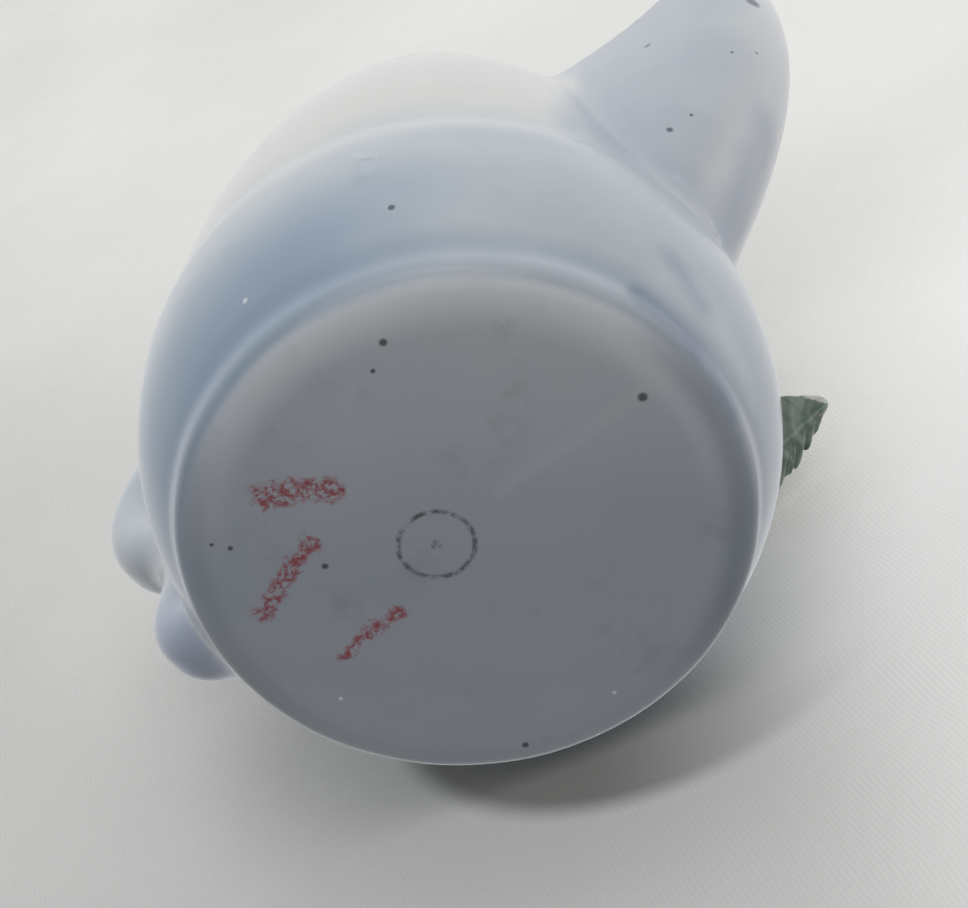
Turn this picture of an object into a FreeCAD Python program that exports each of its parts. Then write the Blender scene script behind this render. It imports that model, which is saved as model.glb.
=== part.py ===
import FreeCAD, Part
import math
import os

import Sketcher

# A small porcelain cream jug with an applied rose.
# Frame: origin at the centre of the foot's underside, +Z up, spout towards -X, handle towards +X,
# rose on the front, towards -Y.  Millimetres and degrees.

ORIGIN_POINT = (-1, 1)
X_AXIS = -1
Y_AXIS = -2
START, END, CENTRE = 1, 2, 3

SIZES = {
    # Turned outline of the jug, outside.
    "foot_flat_radius": 18.5,
    "foot_radius": 20.1,
    "foot_edge_height": 1.4,
    "foot_edge_curve": 1.6,
    "crease_radius": 19.9,
    "crease_height": 2.3,
    "belly_radius": 23.2,
    "belly_height": 13.8,
    "belly_curve": 20.0,
    "shoulder_radius": 22.4,
    "shoulder_height": 19.4,
    "shoulder_curve": 14.0,
    "rim_radius": 15.5,
    "rim_height": 53.1,
    "neck_curve": 105.0,
    # Wall and floor.
    "wall": 2.2,
    "floor": 3.0,
    "floor_radius": 15.5,
    "cavity_curve": 12.5,
    # Spout: horizontal U-shaped sections between a root and a top height.
    "spout_root_height": 17.0,
    "spout_top_height": 60.0,
    "spout_root_reach": 21.6,
    "spout_tip_reach": 32.5,
    "spout_swell": 23.0,
    "spout_root_nose": 7.0,
    "spout_tip_nose": 4.6,
    "spout_root_half_width": 12.0,
    "spout_tip_half_width": 3.0,
    "spout_side_swell": 1.5,
    "lip_curve": 11.0,
    "lip_crest_reach": 30.5,
    "lip_crest_height": 56.0,
    # Handle: a rod swept along line, arc, arc, arc, line in the plane y = 0.
    "handle_half_width": 3.2,
    "handle_half_thickness": 2.8,
    "loop_reach": 21.5,
    "loop_height": 33.6,
    "loop_curve": 10.5,
    "loop_lead_angle": 26.0,
    "handle_lead": 3.0,
    "tail_reach": 20.6,
    "tail_height": 13.4,
    "tail_curve": 4.7,
    "tail_lead_angle": 30.0,
    "tail_lead": 3.0,
    "waist_curve": 12.0,
    # Rose: its axis points out of the front of the belly.
    "rose_bearing": 256.0,
    "rose_height": 28.0,
    "rose_tilt": 8.0,
    "rose_radius": 6.6,
    "rose_seat": 19.6,
    "bud_radius": 2.0,
    "bud_length": 6.2,
    "petal_thickness": 0.9,
    "petal_gap": 0.15,
    "inner_petal_radius": 3.6,
    "inner_petal_length": 6.0,
    "outer_petal_length": 4.4,
    # Leaves: lens-shaped blades that stand off the belly.
    "leaf_length": 10.4,
    "leaf_width": 8.0,
    "leaf_thickness": 1.2,
}

SPOUT_LEVELS = 6
INNER_PETALS = 3
OUTER_PETALS = 5

# Name, then the bearing and height of the root on the belly, then where the blade points from there:
# turn from straight outward (minus is towards the spout), rise above level, and roll about the midrib.
LEAVES = [
    ("leaf_spout_side", 236.0, 19.0, -42.0, 38.0, 0.0),
    ("leaf_handle_side", 276.0, 25.0, 62.0, 8.0, -58.0),
    ("leaf_upper", 254.0, 36.0, 0.0, 66.0, 0.0),
]

doc = FreeCAD.newDocument("cream_jug")
sheet = doc.addObject("Spreadsheet::Sheet", "sizes")
for row, (alias, value) in enumerate(SIZES.items(), start=1):
    sheet.set("A%d" % row, alias)
    sheet.set("B%d" % row, str(value))
    sheet.setAlias("B%d" % row, alias)
doc.recompute()


def evaluate(expression):
    """The number that an expression over the sheet's aliases gives."""
    value = sheet.evalExpression(expression)
    return float(getattr(value, "Value", value))


def bound(expression):
    """An expression over aliases, written so that another object can use it."""
    words = sorted(SIZES, key=len, reverse=True)
    text, place = "", 0
    while place < len(expression):
        match = next((w for w in words if expression.startswith(w, place)), None)
        if match:
            text += "sizes." + match
            place += len(match)
        else:
            text += expression[place]
            place += 1
    return text


def new_body(name):
    return doc.addObject("PartDesign::Body", name)


def plane_of(body, role):
    return next(f for f in body.Origin.OriginFeatures if f.Role == role)


def new_sketch(body, name, role):
    sketch = body.newObject("Sketcher::SketchObject", name)
    sketch.AttachmentSupport = [(plane_of(body, role), "")]
    sketch.MapMode = "FlatFace"
    return sketch


def measure(sketch, constraint, expression):
    """Add a dimension to a sketch and bind it to the sheet."""
    index = sketch.addConstraint(constraint)
    sketch.setExpression("Constraints[%d]" % index, bound(expression))


def pin(sketch, geometry, point, x_expression, y_expression):
    """Fix a point of a sketch at coordinates that are expressions."""
    for kind, axis, expression in (("DistanceX", Y_AXIS, x_expression), ("DistanceY", X_AXIS, y_expression)):
        if expression == "0":
            sketch.addConstraint(Sketcher.Constraint("PointOnObject", geometry, point, axis))
        else:
            value = evaluate(expression)
            measure(sketch, Sketcher.Constraint(kind, *ORIGIN_POINT, geometry, point, value), expression)


def arc_between(start, end, radius, side):
    """The short arc of a radius from start to end; side +1 puts its centre on the left of the chord."""
    chord = end - start
    height = math.sqrt(max(radius ** 2 - (chord.Length / 2) ** 2, 0.0))
    left = FreeCAD.Vector(-chord.y, chord.x, 0).normalize()
    centre = (start + end) * 0.5 + left * (height * side)
    middle = centre + left * (-radius * side)
    return Part.Arc(start, middle, end)


def closed_outline(sketch, corners):
    """Draw a closed outline.  Each corner is (x, y) and starts a line, or (x, y, radius, side) and
    starts an arc to the next corner.  Coordinates and radii are expressions."""
    points = [FreeCAD.Vector(evaluate(c[0]), evaluate(c[1]), 0) for c in corners]
    ends = []
    for number, corner in enumerate(corners):
        start = points[number]
        end = points[(number + 1) % len(points)]
        if len(corner) == 2:
            geometry = sketch.addGeometry(Part.LineSegment(start, end), False)
            ends.append((geometry, START, END))
        else:
            arc = arc_between(start, end, evaluate(corner[2]), corner[3])
            geometry = sketch.addGeometry(arc, False)
            first = sketch.getPoint(geometry, START)
            forward = first.distanceToPoint(start) < 1e-6
            ends.append((geometry, START, END) if forward else (geometry, END, START))
            measure(sketch, Sketcher.Constraint("Radius", geometry, evaluate(corner[2])), corner[2])
    for number, (geometry, _, last) in enumerate(ends):
        following, first, _ = ends[(number + 1) % len(ends)]
        sketch.addConstraint(Sketcher.Constraint("Coincident", geometry, last, following, first))
    for (geometry, first, _), corner in zip(ends, corners):
        pin(sketch, geometry, first, corner[0], corner[1])


def revolve(body, sketch, name, kind="PartDesign::Revolution", angle=360.0):
    """Turn a profile about its sketch's vertical axis."""
    feature = body.newObject(kind, name)
    feature.Profile = sketch
    feature.ReferenceAxis = (sketch, ["V_Axis"])
    feature.Angle = angle
    return feature


def cut(name, base, tools):
    """Boolean difference of an object and one or more tools, one after another."""
    result = base
    for number, tool in enumerate(tools, start=1):
        last = number == len(tools)
        step = doc.addObject("Part::Cut", name if last else "%s_step_%d" % (name, number))
        step.Base = result
        step.Tool = tool
        result = step
    result.Label = name
    return result


# ---- Jug body -------------------------------------------------------------------------------------

OUTSIDE = [
    ("0", "0"),
    ("foot_flat_radius", "0", "foot_edge_curve", 1),
    ("foot_radius", "foot_edge_height", "foot_edge_curve * 1.5", 1),
    ("crease_radius", "crease_height", "belly_curve", 1),
    ("belly_radius", "belly_height", "shoulder_curve", 1),
    ("shoulder_radius", "shoulder_height", "neck_curve", 1),
]


def turned_solid(name, rim_corners):
    """The jug's outside turned solid, closed at the top by the given corners."""
    body = new_body(name)
    sketch = new_sketch(body, name + "_profile", "XZ_Plane")
    closed_outline(sketch, OUTSIDE + rim_corners)
    revolve(body, sketch, name + "_turned")
    return body


def jug_outside():
    """The jug's outside as a full solid that runs on above the rim.  Luted pieces are cut to it."""
    return turned_solid("jug_outside", [
        ("rim_radius", "rim_height - wall / 2"),
        ("rim_radius", "spout_top_height * 1.1"),
        ("0", "spout_top_height * 1.1"),
    ])


def jug_shell():
    """The cast body: floor, wall and rounded rim."""
    body = turned_solid("jug_shell", [
        ("rim_radius", "rim_height - wall / 2", "wall / 2 * 1.0001", 1),
        ("rim_radius - wall", "rim_height - wall / 2"),
        ("0", "rim_height - wall / 2"),
    ])
    cavity = new_sketch(body, "cavity_profile", "XZ_Plane")
    closed_outline(cavity, [
        ("0", "floor"),
        ("floor_radius", "floor", "cavity_curve", 1),
        ("belly_radius - wall", "belly_height", "shoulder_curve - wall", 1),
        ("shoulder_radius - wall", "shoulder_height", "neck_curve - wall", 1),
        ("rim_radius - wall", "rim_height - wall / 2"),
        ("rim_radius - wall", "rim_height + wall"),
        ("0", "rim_height + wall"),
    ])
    revolve(body, cavity, "cavity", "PartDesign::Groove")
    return body


# ---- Spout ----------------------------------------------------------------------------------------


def spout_body(name, inset, floor_rise):
    """Loft of U-shaped horizontal sections.  An inset by the wall gives the pouring channel."""
    body = new_body(name)
    sections = []
    for level in range(SPOUT_LEVELS):
        share = level / (SPOUT_LEVELS - 1)
        height = "spout_root_height + %s + (spout_top_height - spout_root_height - %s) * %s" % (
            floor_rise, floor_rise, share)
        rise = "((%s - spout_root_height) / (spout_top_height - spout_root_height))" % height
        reach = ("spout_root_reach + (spout_tip_reach - spout_root_reach) * %s + spout_swell * %s * (1 - %s)"
                 " - %s" % (rise, rise, rise, inset))
        nose = "spout_root_nose + (spout_tip_nose - spout_root_nose) * %s - %s" % (rise, inset)
        half_width = ("spout_root_half_width + (spout_tip_half_width - spout_root_half_width) * %s"
                      " + spout_side_swell * %s * (1 - %s) - %s" % (rise, rise, rise, inset))
        root_depth = "rim_radius - wall * 2"
        sketch = new_sketch(body, "%s_section_%d" % (name, level + 1), "XY_Plane")
        sketch.setExpression("AttachmentOffset.Base.z", bound(height))
        u_section(sketch, reach, nose, half_width, root_depth)
        sections.append(sketch)
    loft = body.newObject("PartDesign::AdditiveLoft", name + "_loft")
    loft.Profile = sections[0]
    loft.Sections = sections[1:]
    loft.Ruled = False
    return body


def u_section(sketch, reach, nose, half_width, root_depth):
    """A U open towards the jug: a nose arc at -reach and two sides tangent to it."""
    far = evaluate(reach)
    radius = evaluate(nose)
    side_y = evaluate(half_width)
    side_x = -evaluate(root_depth)
    centre = FreeCAD.Vector(radius - far, 0, 0)
    span = math.hypot(side_x - centre.x, side_y)
    turn = math.atan2(side_y, side_x - centre.x) + math.acos(radius / span)
    touch = FreeCAD.Vector(centre.x + radius * math.cos(turn), radius * math.sin(turn), 0)
    mirrored = FreeCAD.Vector(touch.x, -touch.y, 0)
    upper = FreeCAD.Vector(side_x, side_y, 0)
    lower = FreeCAD.Vector(side_x, -side_y, 0)
    tip = FreeCAD.Vector(-far, 0, 0)
    arc = sketch.addGeometry(Part.Arc(touch, tip, mirrored), False)
    low_side = sketch.addGeometry(Part.LineSegment(mirrored, lower), False)
    back = sketch.addGeometry(Part.LineSegment(lower, upper), False)
    high_side = sketch.addGeometry(Part.LineSegment(upper, touch), False)
    first_is_touch = sketch.getPoint(arc, START).distanceToPoint(touch) < 1e-6
    touch_end, mirrored_end = (START, END) if first_is_touch else (END, START)
    sketch.addConstraint(Sketcher.Constraint("Tangent", arc, mirrored_end, low_side, START))
    sketch.addConstraint(Sketcher.Constraint("Tangent", high_side, END, arc, touch_end))
    sketch.addConstraint(Sketcher.Constraint("Coincident", low_side, END, back, START))
    sketch.addConstraint(Sketcher.Constraint("Coincident", back, END, high_side, START))
    sketch.addConstraint(Sketcher.Constraint("PointOnObject", arc, CENTRE, X_AXIS))
    measure(sketch, Sketcher.Constraint("Radius", arc, radius), nose)
    measure(sketch, Sketcher.Constraint("DistanceX", arc, CENTRE, *ORIGIN_POINT, far - radius),
            "%s - (%s)" % (reach, nose))
    measure(sketch, Sketcher.Constraint("DistanceX", back, END, *ORIGIN_POINT, -side_x), root_depth)
    measure(sketch, Sketcher.Constraint("DistanceY", *ORIGIN_POINT, back, END, side_y), half_width)
    sketch.addConstraint(Sketcher.Constraint("Symmetric", back, START, back, END, X_AXIS))


def lip_trimmer():
    """Everything above the spout's lip, which dips beside the rim, rises again and levels at the tip."""
    body = new_body("lip_trimmer")
    sketch = new_sketch(body, "lip_side_view", "XZ_Plane")
    closed_outline(sketch, [
        ("-rim_radius + wall", "rim_height", "lip_curve", -1),
        ("-lip_crest_reach", "lip_crest_height"),
        ("-spout_tip_reach - wall * 2", "lip_crest_height"),
        ("-spout_tip_reach - wall * 2", "rim_height + spout_top_height / 2"),
        ("-rim_radius + wall", "rim_height + spout_top_height / 2"),
    ])
    pad = body.newObject("PartDesign::Pad", "lip_trim")
    pad.Profile = sketch
    pad.SideType = "Symmetric"
    pad.setExpression("Length", bound("rim_radius * 4"))
    return body


# ---- Handle ---------------------------------------------------------------------------------------


def handle_rod():
    """A round-edged strap swept along a tangent chain in the plane y = 0."""
    body = new_body("handle_rod")
    path = new_sketch(body, "handle_path", "XZ_Plane")
    loop = FreeCAD.Vector(evaluate("loop_reach"), evaluate("loop_height"), 0)
    tail = FreeCAD.Vector(evaluate("tail_reach"), evaluate("tail_height"), 0)
    loop_radius = evaluate("loop_curve")
    tail_radius = evaluate("tail_curve")
    waist_radius = evaluate("waist_curve")
    waist = waist_centre(loop, loop_radius + waist_radius, tail, tail_radius + waist_radius)
    lead = math.radians(evaluate("loop_lead_angle"))
    tail_lead = math.radians(evaluate("tail_lead_angle"))
    into_loop = FreeCAD.Vector(math.cos(lead), math.sin(lead), 0)
    out_of_tail = FreeCAD.Vector(-math.cos(tail_lead), -math.sin(tail_lead), 0)
    loop_start = loop + FreeCAD.Vector(-math.sin(lead), math.cos(lead), 0) * loop_radius
    loop_end = loop + (waist - loop).normalize() * loop_radius
    tail_start = tail + (waist - tail).normalize() * tail_radius
    tail_end = tail + FreeCAD.Vector(math.sin(tail_lead), -math.cos(tail_lead), 0) * tail_radius
    start = loop_start - into_loop * evaluate("handle_lead")
    finish = tail_end + out_of_tail * evaluate("tail_lead")
    stops = [start, loop_start, loop_end, tail_start, tail_end, finish]
    bends = [None, (loop, loop_radius), (waist, waist_radius), (tail, tail_radius), None]
    pieces = []
    for number, bend in enumerate(bends):
        first, last = stops[number], stops[number + 1]
        if bend is None:
            geometry = sketch_line(path, first, last)
        else:
            geometry = sketch_bend(path, first, last, *bend)
        pieces.append(geometry)
    for (one, _, one_end), (two, two_start, _) in zip(pieces, pieces[1:]):
        path.addConstraint(Sketcher.Constraint("Tangent", one, one_end, two, two_start))
    lead_in, loop_arc, waist_arc, tail_arc, lead_out = (piece[0] for piece in pieces)
    pin(path, loop_arc, CENTRE, "loop_reach", "loop_height")
    pin(path, tail_arc, CENTRE, "tail_reach", "tail_height")
    for geometry, radius in ((loop_arc, "loop_curve"), (waist_arc, "waist_curve"), (tail_arc, "tail_curve")):
        measure(path, Sketcher.Constraint("Radius", geometry, evaluate(radius)), radius)
    measure(path, Sketcher.Constraint("Distance", lead_in, evaluate("handle_lead")), "handle_lead")
    measure(path, Sketcher.Constraint("Distance", lead_out, evaluate("tail_lead")), "tail_lead")
    pin_angle(path, lead_in, lead, "loop_lead_angle")
    pin_angle(path, lead_out, math.pi + tail_lead, "180 + tail_lead_angle")
    section = new_sketch(body, "handle_section", "XY_Plane")
    section.AttachmentOffset = FreeCAD.Placement(
        FreeCAD.Vector(start.x, 0, start.y),
        FreeCAD.Rotation(FreeCAD.Vector(0, 1, 0), 90 - evaluate("loop_lead_angle")))
    half_width = evaluate("handle_half_width")
    half_thickness = evaluate("handle_half_thickness")
    section.addGeometry(Part.Ellipse(
        FreeCAD.Vector(0, half_width, 0), FreeCAD.Vector(half_thickness, 0, 0), FreeCAD.Vector(0, 0, 0)), False)
    pipe = body.newObject("PartDesign::AdditivePipe", "handle_sweep")
    pipe.Profile = section
    pipe.Spine = path
    pipe.Mode = "Frenet"
    return body


def waist_centre(one, one_distance, two, two_distance):
    """The centre, on the outer side, at given distances from two other centres."""
    link = two - one
    along = (one_distance ** 2 - two_distance ** 2 + link.Length ** 2) / (2 * link.Length)
    across = math.sqrt(one_distance ** 2 - along ** 2)
    direction = FreeCAD.Vector(link).normalize()
    outward = FreeCAD.Vector(-direction.y, direction.x, 0)
    return one + direction * along + outward * across


def sketch_line(sketch, first, last):
    return sketch.addGeometry(Part.LineSegment(first, last), False), START, END


def sketch_bend(sketch, first, last, centre, radius):
    """The arc about a centre between two of its points that bulges away from the centre."""
    middle = centre + ((first + last) * 0.5 - centre).normalize() * radius
    geometry = sketch.addGeometry(Part.Arc(first, middle, last), False)
    forward = sketch.getPoint(geometry, START).distanceToPoint(first) < 1e-6
    return (geometry, START, END) if forward else (geometry, END, START)


def pin_angle(sketch, line, angle, expression):
    measure(sketch, Sketcher.Constraint("Angle", line, angle), expression)


# ---- Rose and leaves ------------------------------------------------------------------------------


def rose_placement(turn=0.0):
    """The rose's own frame: its axis points outward from the belly, its seat is inside the wall."""
    bearing = evaluate("rose_bearing")
    out = FreeCAD.Rotation(FreeCAD.Vector(0, 0, 1), bearing)
    tip_over = FreeCAD.Rotation(FreeCAD.Vector(0, 1, 0), 90 - evaluate("rose_tilt"))
    spin = FreeCAD.Rotation(FreeCAD.Vector(0, 0, 1), turn)
    seat = out.multVec(FreeCAD.Vector(evaluate("rose_seat"), 0, evaluate("rose_height")))
    return FreeCAD.Placement(seat, out * tip_over * spin)


def rose_bud():
    """The rolled centre, a rounded cone."""
    body = new_body("rose_bud_blank")
    sketch = new_sketch(body, "rose_bud_profile", "XZ_Plane")
    closed_outline(sketch, [
        ("0", "0"),
        ("bud_radius", "0", "bud_length * 1.4", 1),
        ("bud_radius * 0.6", "bud_length * 0.85", "bud_radius * 0.75", 1),
        ("bud_radius * 0.2", "bud_length"),
        ("0", "bud_length"),
    ])
    revolve(body, sketch, "rose_bud_turned")
    body.Placement = rose_placement()
    return body


def petal(name, root_radius, tip_radius, length, curve, count, turn):
    """One cupped petal: a curved strip turned through its share of the circle."""
    body = new_body(name + "_blank")
    sketch = new_sketch(body, name + "_profile", "XZ_Plane")
    closed_outline(sketch, [
        (root_radius, "0", curve, 1),
        (tip_radius, length),
        ("%s - petal_thickness" % tip_radius, "%s + petal_thickness / 3" % length, curve, -1),
        ("%s - petal_thickness" % root_radius, "0"),
    ])
    gap = math.degrees(evaluate("petal_gap") / evaluate(root_radius))
    revolve(body, sketch, name + "_turned", angle=360.0 / count - gap)
    body.Placement = rose_placement(turn)
    return body


def leaf(name, bearing, height, turn, rise, roll):
    """A lens-shaped blade.  Its root is at the belly and its tip stands off the surface."""
    body = new_body(name + "_blank")
    sketch = new_sketch(body, name + "_outline", "XY_Plane")
    half_length = "leaf_length / 2"
    half_width = "leaf_width / 2"
    curve = "(%s * %s + %s * %s) / (2 * %s)" % (half_length, half_length, half_width, half_width, half_width)
    closed_outline(sketch, [("0", "0", curve, 1), ("leaf_length", "0", curve, 1)])
    pad = body.newObject("PartDesign::Pad", name + "_pad")
    pad.Profile = sketch
    pad.SideType = "Symmetric"
    pad.setExpression("Length", bound("leaf_thickness"))
    out = FreeCAD.Rotation(FreeCAD.Vector(0, 0, 1), bearing)
    steer = FreeCAD.Rotation(FreeCAD.Vector(0, 0, 1), turn)
    raise_tip = FreeCAD.Rotation(FreeCAD.Vector(0, 1, 0), -rise)
    roll_blade = FreeCAD.Rotation(FreeCAD.Vector(1, 0, 0), roll)
    root = out.multVec(FreeCAD.Vector(evaluate("shoulder_radius") - root_depth(height), 0, height))
    body.Placement = FreeCAD.Placement(root, out * steer * raise_tip * roll_blade)
    return body


def root_depth(height):
    """How far inside the shoulder's radius a leaf starts: the neck tapers above the shoulder."""
    above = max(height - evaluate("shoulder_height"), 0.0)
    taper = evaluate("(shoulder_radius - rim_radius) / (rim_height - shoulder_height)")
    return above * taper * 0.6


# ---- Assembly -------------------------------------------------------------------------------------

outside = jug_outside()
shell = jug_shell()
spout_outside = spout_body("spout_outside", "0", "0")
channel = spout_body("pouring_channel", "wall", "wall * 1.5")
trimmer = lip_trimmer()
doc.recompute()

parts = [
    cut("jug_body", shell, [channel]),
    cut("spout", spout_outside, [outside, channel, trimmer]),
    cut("handle", handle_rod(), [outside]),
    cut("rose_bud", rose_bud(), [outside]),
]
for number in range(1, INNER_PETALS + 1):
    label = "inner_petal_%d" % number
    blank = petal(label, "bud_radius + petal_thickness + petal_gap", "inner_petal_radius + petal_thickness",
                  "inner_petal_length", "inner_petal_length", INNER_PETALS, number * 360.0 / INNER_PETALS)
    parts.append(cut(label, blank, [outside]))
for number in range(1, OUTER_PETALS + 1):
    label = "outer_petal_%d" % number
    blank = petal(label, "inner_petal_radius + petal_thickness", "rose_radius",
                  "outer_petal_length", "outer_petal_length", OUTER_PETALS, number * 360.0 / OUTER_PETALS)
    parts.append(cut(label, blank, [outside]))
for row in LEAVES:
    parts.append(cut(row[0], leaf(*row), [outside]))
doc.recompute()

for item in doc.Objects:
    if "Invalid" in item.State or "Error" in item.State:
        raise RuntimeError("%s did not build: %s" % (item.Name, item.State))
os.makedirs("parts", exist_ok=True)
for item in parts:
    if item.Shape.isNull() or not item.Shape.isValid() or not item.Shape.Solids:
        raise RuntimeError("%s has no valid solid" % item.Label)
    item.Shape.exportStep("parts/%s.step" % item.Label)
    print("%-18s solids %d volume %8.1f mm3" % (item.Label, len(item.Shape.Solids), item.Shape.Volume))
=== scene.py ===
import math

import bpy
import numpy as np
from mathutils import Matrix, Vector


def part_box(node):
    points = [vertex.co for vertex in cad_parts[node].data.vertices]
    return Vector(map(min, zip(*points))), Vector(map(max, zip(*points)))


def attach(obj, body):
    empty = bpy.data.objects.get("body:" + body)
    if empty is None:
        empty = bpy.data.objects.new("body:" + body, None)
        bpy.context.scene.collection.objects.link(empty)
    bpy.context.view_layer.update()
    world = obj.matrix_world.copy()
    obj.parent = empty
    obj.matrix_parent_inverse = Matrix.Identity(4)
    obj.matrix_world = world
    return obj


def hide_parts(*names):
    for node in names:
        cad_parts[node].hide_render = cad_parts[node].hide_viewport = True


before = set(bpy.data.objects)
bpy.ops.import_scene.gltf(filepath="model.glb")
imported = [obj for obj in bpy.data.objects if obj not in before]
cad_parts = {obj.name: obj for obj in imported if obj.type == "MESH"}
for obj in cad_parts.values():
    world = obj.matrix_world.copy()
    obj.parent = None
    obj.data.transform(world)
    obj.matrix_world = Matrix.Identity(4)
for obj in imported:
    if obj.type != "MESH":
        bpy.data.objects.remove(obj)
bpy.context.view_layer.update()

# A porcelain cream jug with an applied rose, in the frame of the CAD model: origin at the centre of the
# foot's underside, +Z up, spout towards -X, handle towards +X, rose on the front, towards -Y.
# The shapes are worked out in millimetres and turned into metres as each mesh is made.

MM = 0.001
ROOT_BODY = "root"


def box_mm(node):
    """Lowest and highest corner of a CAD node, in millimetres."""
    low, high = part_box(node)
    return low / MM, high / MM


# ---- Driving dimensions, from the frame ----

body_high = box_mm("jug_body")[1]
spout_low, spout_high = box_mm("spout")
handle_high = box_mm("handle")[1]

BELLY_RADIUS = body_high.x
RIM_TOP = body_high.z
LIP_TOP = spout_high.z
HANDLE_HALF_WIDTH = handle_high.y

# The turned profile, as shares of the belly's radius and of the height.
FOOT_FLAT_RADIUS = BELLY_RADIUS * 0.797
FOOT_RADIUS = BELLY_RADIUS * 0.866
FOOT_EDGE_HEIGHT = RIM_TOP * 0.026
FOOT_CURVE = BELLY_RADIUS * 0.069
CREASE_RADIUS = BELLY_RADIUS * 0.858
CREASE_HEIGHT = RIM_TOP * 0.043
BELLY_HEIGHT = RIM_TOP * 0.26
BELLY_CURVE = BELLY_RADIUS * 0.862
SHOULDER_RADIUS = BELLY_RADIUS * 0.966
SHOULDER_HEIGHT = RIM_TOP * 0.365
SHOULDER_CURVE = BELLY_RADIUS * 0.603
RIM_RADIUS = BELLY_RADIUS * 0.668
NECK_CURVE = BELLY_RADIUS * 4.526
WALL = BELLY_RADIUS * 0.095
FLOOR_HEIGHT = RIM_TOP * 0.0565
FLOOR_RADIUS = BELLY_RADIUS * 0.668
CAVITY_CURVE = BELLY_RADIUS * 0.539

# The spout: U-shaped level sections between a root height and a top height.
SPOUT_ROOT_HEIGHT = spout_low.z
SPOUT_TOP_HEIGHT = RIM_TOP * 1.13
SPOUT_ROOT_REACH = BELLY_RADIUS * 0.931
SPOUT_TIP_REACH = BELLY_RADIUS * 1.401
SPOUT_SWELL = BELLY_RADIUS * 0.991
SPOUT_ROOT_NOSE = BELLY_RADIUS * 0.302
SPOUT_TIP_NOSE = BELLY_RADIUS * 0.198
SPOUT_ROOT_HALF_WIDTH = BELLY_RADIUS * 0.517
SPOUT_TIP_HALF_WIDTH = BELLY_RADIUS * 0.129
SPOUT_SIDE_SWELL = BELLY_RADIUS * 0.065
SPOUT_ROOT_DEPTH = RIM_RADIUS - 2 * WALL
LIP_CURVE = BELLY_RADIUS * 0.474
LIP_START = np.array([WALL - RIM_RADIUS, RIM_TOP])
LIP_CREST = np.array([-BELLY_RADIUS * 1.315, LIP_TOP])

# The handle: line, arc, arc, arc, line in the plane y = 0.
HANDLE_RADIUS = HANDLE_HALF_WIDTH * 0.875
LOOP_CENTRE = np.array([BELLY_RADIUS * 0.927, RIM_TOP * 0.633])
LOOP_CURVE = BELLY_RADIUS * 0.4526
LOOP_LEAD = math.radians(26)
TAIL_CENTRE = np.array([BELLY_RADIUS * 0.888, RIM_TOP * 0.252])
TAIL_CURVE = BELLY_RADIUS * 0.2026
TAIL_LEAD = math.radians(30)
WAIST_CURVE = BELLY_RADIUS * 0.517
HANDLE_LEAD = HANDLE_HALF_WIDTH

LUTE = 2.2              # reach of the slip fillet where spout and handle are stuck on
EDGE_SOFTENING = 0.7    # how far the glaze rounds the turned profile's corners

# The rose and its leaves.
ROSE_BEARING = 256
ROSE_TILT = 8
ROSE_HEIGHT = RIM_TOP * 0.527
ROSE_SEAT = BELLY_RADIUS * 0.845
LEAF_LENGTH = BELLY_RADIUS * 0.448
LEAF_HALF_WIDTH = BELLY_RADIUS * 0.172
LEAF_THICKNESS = 1.1

LEAF_TEETH = 9
LEAF_VEINS = 6

# Name, bearing and height of the root, then turn from straight outward, rise above level and roll.
LEAVES = [
    ("leaf_spout_side", 236, 19.0, -42, 38, 0),
    ("leaf_handle_side", 276, 25.0, 62, 8, -58),
    ("leaf_upper", 254, 36.0, 0, 66, 0),
]

# Petals: name, how many, then each one's half angle, root, tip, crown, curl and lean, as petal() takes them.
PETAL_RINGS = [
    ("inner_petal_", 3, 72, 2.3, 4.0, 6.3, 0.75, 0.3),
    ("outer_petal_", 5, 46, 3.4, 5.9, 4.9, 1.15, 0.42),
]

VOXEL = 0.47
SHEET_LEVELS = 2


# ---- Distance fields of the cast jug ----


def arc_centre(start, end, radius):
    """Centre of the short arc from start up to end, which bulges to the right of the chord."""
    chord = np.subtract(end, start)
    length = np.hypot(*chord)
    left = np.array([-chord[1], chord[0]]) / length
    return np.add(start, end) / 2 + left * math.sqrt(radius ** 2 - length ** 2 / 4)


def heading(angle):
    return np.array([math.cos(angle), math.sin(angle)])


def arc_points(start, end, radius, steps=14):
    centre = arc_centre(start, end, radius)
    first = math.atan2(*(start - centre)[::-1])
    last = math.atan2(*(end - centre)[::-1])
    sweep = (last - first + math.pi) % (2 * math.pi) - math.pi
    angles = first + sweep * np.arange(steps) / steps
    return [tuple(centre + radius * heading(angle)) for angle in angles]


def outline_points(corners):
    """A closed outline's points.  A corner is (r, z), or (r, z, radius) where an arc starts."""
    points = []
    for corner, following in zip(corners, corners[1:] + corners[:1]):
        if len(corner) == 3:
            points += arc_points(corner[:2], following[:2], corner[2])
        else:
            points.append(corner)
    return points


ABOVE = LIP_TOP + 10

OUTSIDE = outline_points([
    (0.0, 0.0),
    (FOOT_FLAT_RADIUS, 0.0, FOOT_CURVE),
    (FOOT_RADIUS, FOOT_EDGE_HEIGHT, FOOT_CURVE * 1.5),
    (CREASE_RADIUS, CREASE_HEIGHT, BELLY_CURVE),
    (BELLY_RADIUS, BELLY_HEIGHT, SHOULDER_CURVE),
    (SHOULDER_RADIUS, SHOULDER_HEIGHT, NECK_CURVE),
    (RIM_RADIUS, RIM_TOP - WALL / 2),
    (RIM_RADIUS, ABOVE),
    (0.0, ABOVE),
])

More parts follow.
